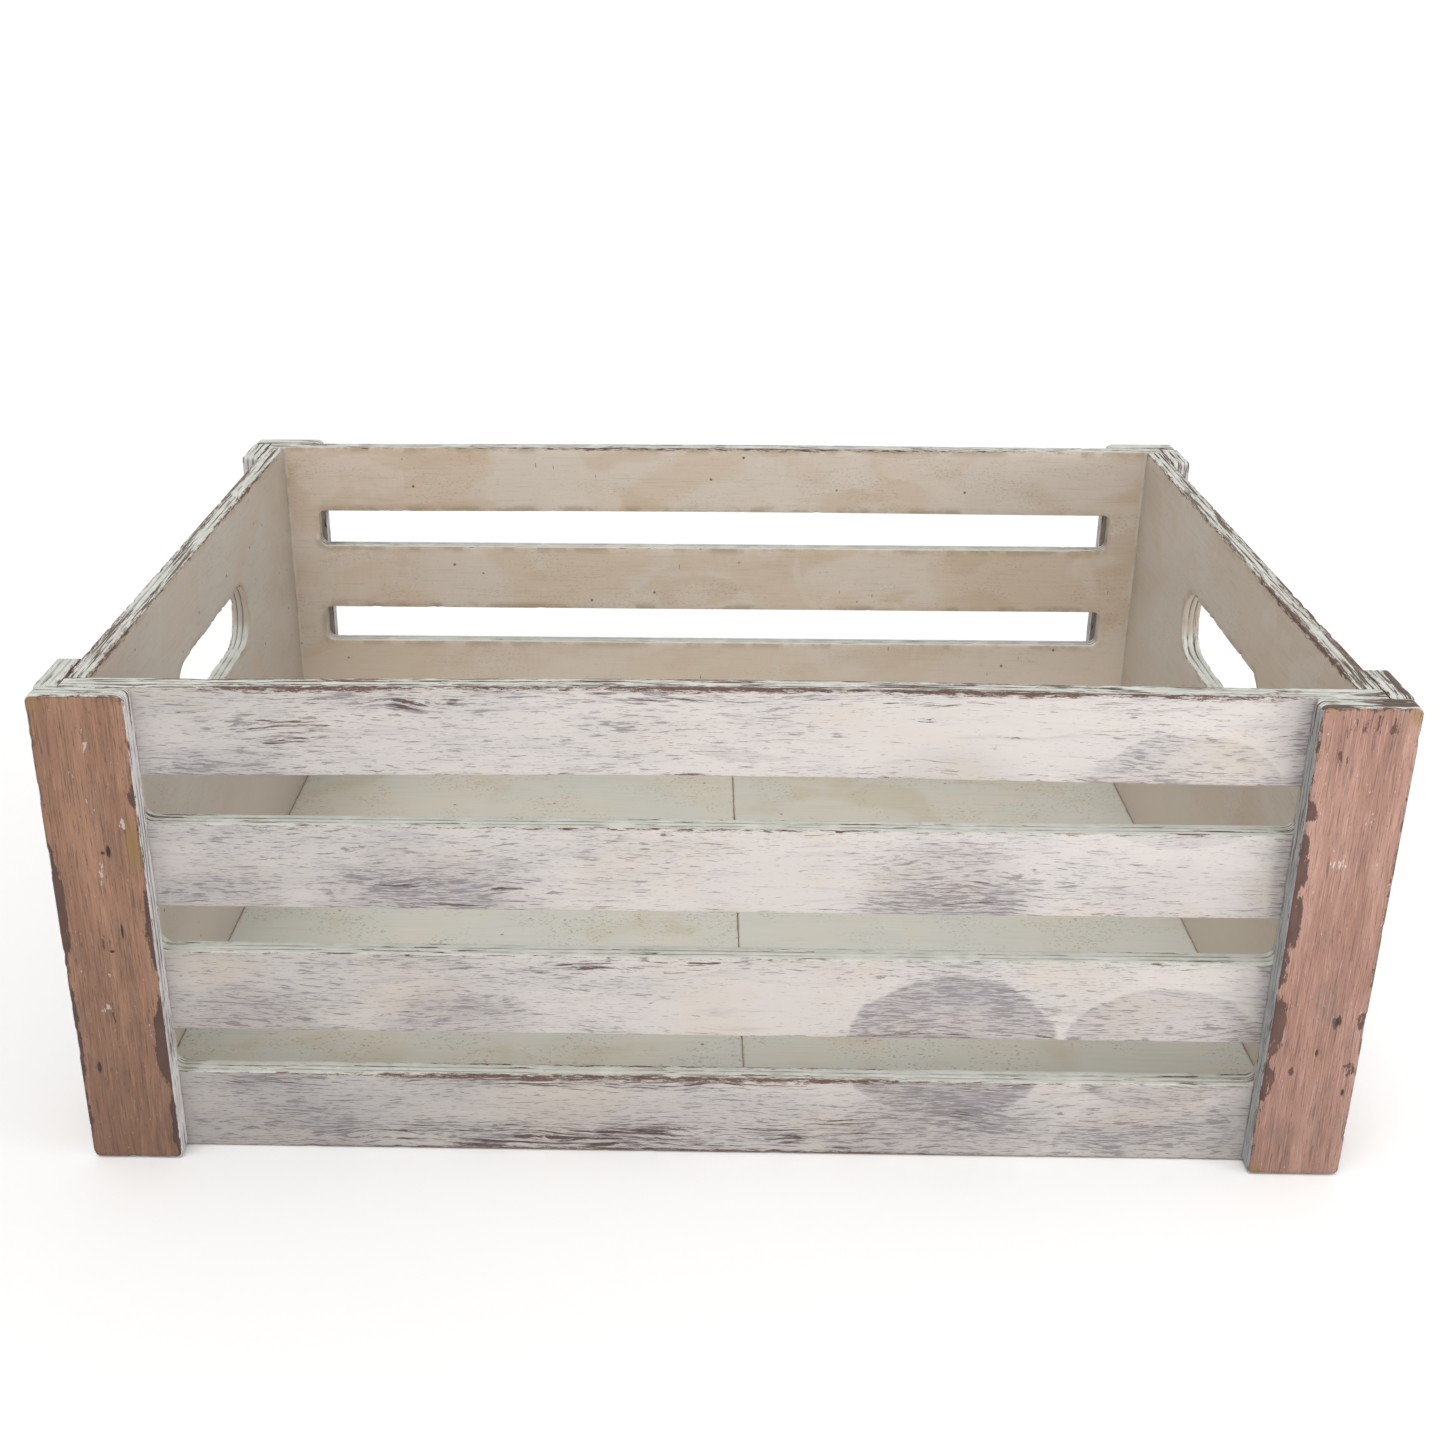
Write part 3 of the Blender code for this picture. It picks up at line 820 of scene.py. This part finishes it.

# Marks on a wall panel: crisp grey patches, soft smudges, rubbed bands of grain, worn stretches
# of corner line and cleaner patches of paint. Each is its centre, half sizes and strength. Among
# the front's soft smudges is a painted shadow that the right corner plank casts beside it.
FRONT_MARKS = (
    [(75, 41, 35, 27, 1), (141, 42, 32, 23, .75), (138, 131, 29, 19, .5), (141, -4, 33, 31, .35)],
    [(70, 131, 29, 19, .5), (-145, 129, 30, 17, .8), (-146, 40, 30, 29, .9),
     (-81, 42, 32, 27, .8), (-150, 88, 27, 24, .6), (-88, 90, 44, 27, .75),
     (70, 92, 33, 28, .8), (143, 90, 34, 24, .45), (-137, 0, 40, 30, .5), (70, 6, 42, 27, .75),
     # The last smudge, at 173 mm, is the painted shadow of the right corner plank on the panel
     (142, 4, 34, 24, .6), (-10, 10, 60, 16, .35), (173, 110, 9, 100, 1)],
    [(-125, 149, 34, 9, .10), (-95, 157, 40, 5, .10), (-25, 158.5, 70, 4.5, .09),
     (60, 158, 40, 5, .06), (-50, 6, 105, 9, .13), (30, 9, 50, 8, .09), (110, 10, 60, 9, .04),
     (-40, 69, 95, 3.5, .08), (-40, 26, 90, 4, .11), (95, 27, 50, 4, .06),
     (-85, 95, 45, 14, .055), (75, 97, 40, 10, .05), (-20, 72, 60, 4, .04),
     (65, 45, 34, 12, .05), (70, 14, 50, 12, .06)],
    [(-120, 162, 50, 5, .17), (-62, 162, 34, 5, .12), (0, 162, 64, 5, .17), (80, 162, 56, 5, .17),
     (140, 162, 44, 5, .13), (-20, 27.5, 150, 3, .16),
     (30, 70, 110, 3, .08), (-20, 118, 90, 3, .08), (-10, 0, 180, 3, .15)],
    [(75, 146, 52, 22, 1), (0, 128, 60, 10, .7), (150, 100, 40, 22, .8), (20, 96, 40, 22, .7),
     (10, 50, 46, 26, 1), (-110, 128, 60, 8, .5), (150, 60, 34, 14, .6)])
BACK_MARKS = (
    [(-120, 134, 30, 17, .8), (120, 90, 31, 24, .8)],
    [(35, 132, 40, 20, .8), (-40, 88, 38, 27, .8), (90, 42, 34, 26, .9), (-130, 40, 36, 28, .8),
     (10, 4, 60, 22, .6)],
    [(50, 157, 110, 6, .10), (-70, 6, 110, 8, .11), (90, 69, 60, 5, .07),
     (-90, 113, 60, 5, .07), (60, 12, 60, 9, .07)],
    [(0, 162, 210, 5, .15), (-60, 70, 90, 3, .08), (-20, 27.5, 120, 3, .13),
     (40, 0, 160, 3, .13)],
    [(-40, 140, 60, 24, 1), (60, 92, 50, 22, .8), (-100, 52, 46, 24, .9), (130, 14, 40, 16, .7)])
SIDE_MARKS = (
    [(-78, -2, 34, 28, .6), (34, 2, 36, 26, .7)],
    [(80, 25, 34, 28, .7), (-60, 66, 46, 24, .7), (90, 128, 34, 20, .6), (60, 72, 50, 22, .7),
     (-20, 30, 44, 22, .5), (-84, 140, 36, 14, .5)],
    [(0, 156, 120, 7, .09), (-30, 6, 100, 9, .11), (20, 98, 80, 6, .07), (-60, 40, 50, 14, .05)])
SIDE_CLEAN = [(60, 100, 50, 24, 1), (-70, 100, 44, 22, .8), (20, 56, 60, 20, .9),
              (-90, 20, 30, 16, .7)]
LEFT_RIM = [(-105, 162, 44, 5, .15), (60, 162, 90, 5, .13), (-20, 162, 60, 5, .07),
            (0, 0, 130, 3, .13)]
RIGHT_RIM = [(-80, 162, 80, 5, .19), (50, 162, 110, 5, .10), (0, 0, 130, 3, .13)]

# Paint of a wall's inside: tan, grey, share of blotches and, where it differs, of small marks
BACK_WALL = ((0.675, 0.56, 0.45), (0.70, 0.62, 0.54), 0.5, 0.62)
LEFT_WALL = ((0.495, 0.43, 0.365), (0.495, 0.45, 0.40), 0.2)
RIGHT_WALL = ((0.52, 0.445, 0.37), (0.525, 0.47, 0.41), 0.25)
FRONT_WALL = ((0.56, 0.48, 0.395), (0.58, 0.53, 0.47), 0.4)

PALE_STAIN, DEEP_STAIN = (0.425, 0.245, 0.19), (0.335, 0.178, 0.132)
PALE_BROWN, DEEP_BROWN = (0.38, 0.205, 0.128), (0.295, 0.15, 0.094)

# Marks on a corner plank: gouges, chipped stain, ochre stain, white scrapes and a worn top
LEFT_PLANK_MARKS = (
    [(-181.6, 111.4, (0.8, 2.4), 0.9), (-183.2, 111.0, (0.6, 0.7), 0.4),
     (-180.6, 84.2, (0.4, 3.2), 0.5), (-184.6, 77.0, (0.9, 0.6), 0.4),
     (-193.8, 34.5, (0.7, 2.6), 0.5)],
    [(-199.5, 92, 4.4, 28, .34), (-200, 48, 3.0, 30, .26), (-200, 18, 2.4, 16, .16),
     (-172, 84, 2.4, 20, .22), (-171.8, 44, 4.6, 22, .40), (-171.6, 13, 3.2, 15, .26),
     (-172, 130, 2.2, 5, .26), (-187, 50, 2.2, 13, .13), (-186, 80, 2, 6, .14)],
    [(-173.6, 113.6, 3.4, 12, .8), (-199, 160, 5, 5, .6), (-172.5, 31, 2, 8, .6)],
    [(-184, 147, 1.6, 5, 1), (-176, 121, 2, 3, 1), (-184.5, 106, 2.4, 9, .8),
     (-186, 69, 1.4, 4, 1), (-189, 57, 3, 3, 1)],
    [])
RIGHT_PLANK_MARKS = (
    [(196.5, 31.5, (0.6, 1.6), 0.5), (186.4, 46, (0.5, 1.6), 0.5), (191, 57.3, (0.7, 2.0), 0.4)],
    [(172.5, 129, 2.6, 5, .32), (172.3, 112, 3.4, 12, .32), (172.8, 92, 3.8, 14, .32),
     (172, 76, 3.0, 9, .22), (173, 55, 3.9, 15, .32), (172.4, 35, 3.4, 11, .24),
     (191, 57, 2.4, 4.5, .20), (198.5, 58, 2.4, 5, .22), (197, 40, 2.8, 4.5, .2),
     (179.5, 39, 1.6, 2.4, .24), (186, 156, 14, 6, .13), (178.5, 146, 4, 5, .12),
     (200.4, 90, 2.4, 60, .10)],
    [(199, 160, 5, 5, .8), (175, 161, 3, 2, .5), (173, 2, 4, 3, .6)],
    [(183, 112, 5, 3, .8), (190, 127, 3, 4, .7)],
    [(195, -143, 13, 6, .2), (174, -146, 8, 4, .14)])
RIGHT_SIDE_TOP = [(199.5, -127, 5, 22, .16), (195, -106, 4, 9, .10)]


def build_panels():
    """The four walls: slotted boards at the front and back, boards with a hand hole at the sides."""
    for name, facing, bow, marks, seed, inside, rim in (
            ("front_panel", FRONT, FRONT_BOW, FRONT_MARKS, 1, FRONT_WALL, 0.07),
            ("back_panel", BACK, BACK_BOW, BACK_MARKS, 2, BACK_WALL, 0.05)):
        board, thick = make_board("v_" + name, name, facing, slots(name), bow=bow, seed=seed)
        board.data.materials.append(panel_material(
            "paint_" + name, seed, (0, 2), 1, thick, marks, rim, 0.0, inside, CORNER_X,
            SILL_CALM))
    for name, facing, seed, inside, rim, rim_marks in (
            ("left_side_panel", LEFT, 3, LEFT_WALL, 0.055, LEFT_RIM),
            ("right_side_panel", RIGHT, 4, RIGHT_WALL, 0.07, RIGHT_RIM)):
        board, thick = make_board("v_" + name, name, facing, [GRIP], seed=seed,
                                  rounding=0.7, stretch=FILL, chips=(0.60, 0.4))
        board.data.materials.append(panel_material(
            "paint_" + name, seed, (1, 2), 0, thick, (*SIDE_MARKS, rim_marks, SIDE_CLEAN),
            rim, 0.03, inside, CORNER_Y, GRIP_CALM, 30))


def build_floor():
    """The two floor boards."""
    for name, seed in (("floor_board_left", 5), ("floor_board_right", 6)):
        board, thick = make_board("v_" + name, name, TOP, rounding=0.15, inner_rounding=0.15,
                                  step=2.0, stretch=0.14, grid=(5, 3), back_grid=(8, 8), relief=0.03,
                                  relief_size=(30, 3), chips=(0.66, 0.3), wobble=0.15,
                                  seed=seed)
        board.data.materials.append(floor_material("paint_" + name, seed, thick))


def chipped(edge, z, other_z, top=()):
    """Marks of a plank whose stain is chipped at two places along one of its edges."""
    return (), [(edge, z, 4.2, 22, .34), (edge, other_z, 3.4, 10, .28)], (), (), top


def build_planks():
    """The eight corner planks, each with its own stain, marks and side colour."""
    pale, brown = (PALE_STAIN, DEEP_STAIN), (PALE_BROWN, DEEP_BROWN)
    faces = (("front_left", FRONT, 0, brown, LEFT_PLANK_MARKS, LILAC_GREY),
             # This plank's inner edge is grey paint darkened as painted shade
             ("front_right", FRONT, 0, pale, RIGHT_PLANK_MARKS, SHADED_EDGE_GREY),
             ("back_left", BACK, 0, pale, chipped(-171.5, 55, 112), LILAC_GREY),
             ("back_right", BACK, 0, brown, chipped(200, 80, 30), LILAC_GREY),
             ("left_front", LEFT, 1, brown, chipped(-117, 62, 130), LILAC_GREY),
             ("left_back", LEFT, 1, pale, chipped(117, 108, 24), LILAC_GREY),
             ("right_front", RIGHT, 1, pale, chipped(-117, 96, 20, RIGHT_SIDE_TOP), LILAC_GREY),
             ("right_back", RIGHT, 1, brown, chipped(117, 44, 128), LILAC_GREY))
    for seed, (side, facing, across, tones, marks, edge) in enumerate(faces, 10):
        name = side + "_plank"
        board, thick = make_board("v_" + name, name, facing, corner=PLANK_CORNER,
                                  rounding=PLANK_ROUND, inner_rounding=0.25, step=1.0,
                                  grid=(0.8, 2.4), back_grid=(4, 6), relief=0.10,
                                  relief_size=(1.2, 16.0), chips=(0.64, 0.35),
                                  gouges=marks[0], fill=FILL, seed=seed)
        board.data.materials.append(plank_material(
            "stain_" + name, seed, (2, across), 1 - across, thick, tones, marks, 0.03, edge))


def dress_nails():
    """The nails keep their CAD shapes, in steel."""
    for name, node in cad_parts.items():
        if "nail" in name:
            material = steel_material("steel_" + name, 30)
            for slot in node.material_slots:
                slot.material = material


# ---------------------------------------------------------------- stage, light and camera
def build_stage():
    """A wide pale floor just under the crate."""
    mesh = bpy.data.meshes.new("studio_floor")
    reach, drop = 40.0, -0.0003
    mesh.from_pydata([(-reach, -reach, drop), (reach, -reach, drop),
                      (reach, reach, drop), (-reach, reach, drop)], [], [(0, 1, 2, 3)])
    ground = bpy.data.objects.new("studio_floor", mesh)
    material = bpy.data.materials.new("studio_floor")
    material.use_nodes = True
    shader = material.node_tree.nodes["Principled BSDF"]
    shader.inputs["Base Color"].default_value = (0.93, 0.93, 0.93, 1)
    shader.inputs["Roughness"].default_value = 0.9
    shader.inputs["Specular IOR Level"].default_value = 0.0
    mesh.materials.append(material)
    bpy.context.scene.collection.objects.link(ground)


def build_light():
    """A pale room that is brightest at the horizon, a broad key and a soft fill."""
    world = bpy.data.worlds.new("studio")
    bpy.context.scene.world = world
    world.use_nodes = True
    tree = world.node_tree
    background = tree.nodes["Background"]
    place = tree.nodes.new("ShaderNodeTexCoord")
    split = tree.nodes.new("ShaderNodeSeparateXYZ")
    fall = tree.nodes.new("ShaderNodeMapRange")
    fall.interpolation_type = "SMOOTHSTEP"
    tree.links.new(place.outputs["Generated"], split.inputs[0])
    tree.links.new(split.outputs[2], fall.inputs[0])
    for index, value in ((1, 0.02), (2, 0.3), (3, 1.0), (4, 0.8)):
        fall.inputs[index].default_value = value
    tree.links.new(fall.outputs[0], background.inputs["Strength"])
    background.inputs["Color"].default_value = (1.0, 1.0, 1.0, 1.0)

    key = bpy.data.lights.new("key", "SUN")
    key.energy = 1.0
    key.angle = math.radians(30)
    key.color = (1.0, 0.985, 0.96)
    key_object = bpy.data.objects.new("key", key)
    towards = Vector((0.12, 0.28, -0.95))
    key_object.rotation_euler = towards.to_track_quat("-Z", "Y").to_euler()
    bpy.context.scene.collection.objects.link(key_object)

    fill = bpy.data.lights.new("fill", "AREA")
    fill.energy = 2.6
    fill.size = 0.35
    fill_object = bpy.data.objects.new("fill", fill)
    fill_object.location = (0.80, -0.48, 0.17)
    aim = Vector((0.10, -0.14, 0.10)) - fill_object.location
    fill_object.rotation_euler = aim.to_track_quat("-Z", "Y").to_euler()
    bpy.context.scene.collection.objects.link(fill_object)

    view = bpy.context.scene.view_settings
    view.view_transform = "Standard"
    view.exposure = 0.0


def build_camera():
    """A little above the crate and square to its front, looking down into it."""
    camera = bpy.data.cameras.new("camera")
    camera.sensor_width = 36.0
    camera.lens = 43.9
    camera.shift_x = 0.0453
    camera.clip_start = 0.01
    camera.clip_end = 200.0
    holder = bpy.data.objects.new("camera", camera)
    holder.location = (-0.0064, -0.610, 0.357)
    holder.rotation_euler = (math.radians(90 - 23.52), 0, math.radians(1.366))
    bpy.context.scene.collection.objects.link(holder)
    bpy.context.scene.camera = holder


build_camera()
build_light()
build_stage()
build_panels()
build_floor()
build_planks()
dress_nails()
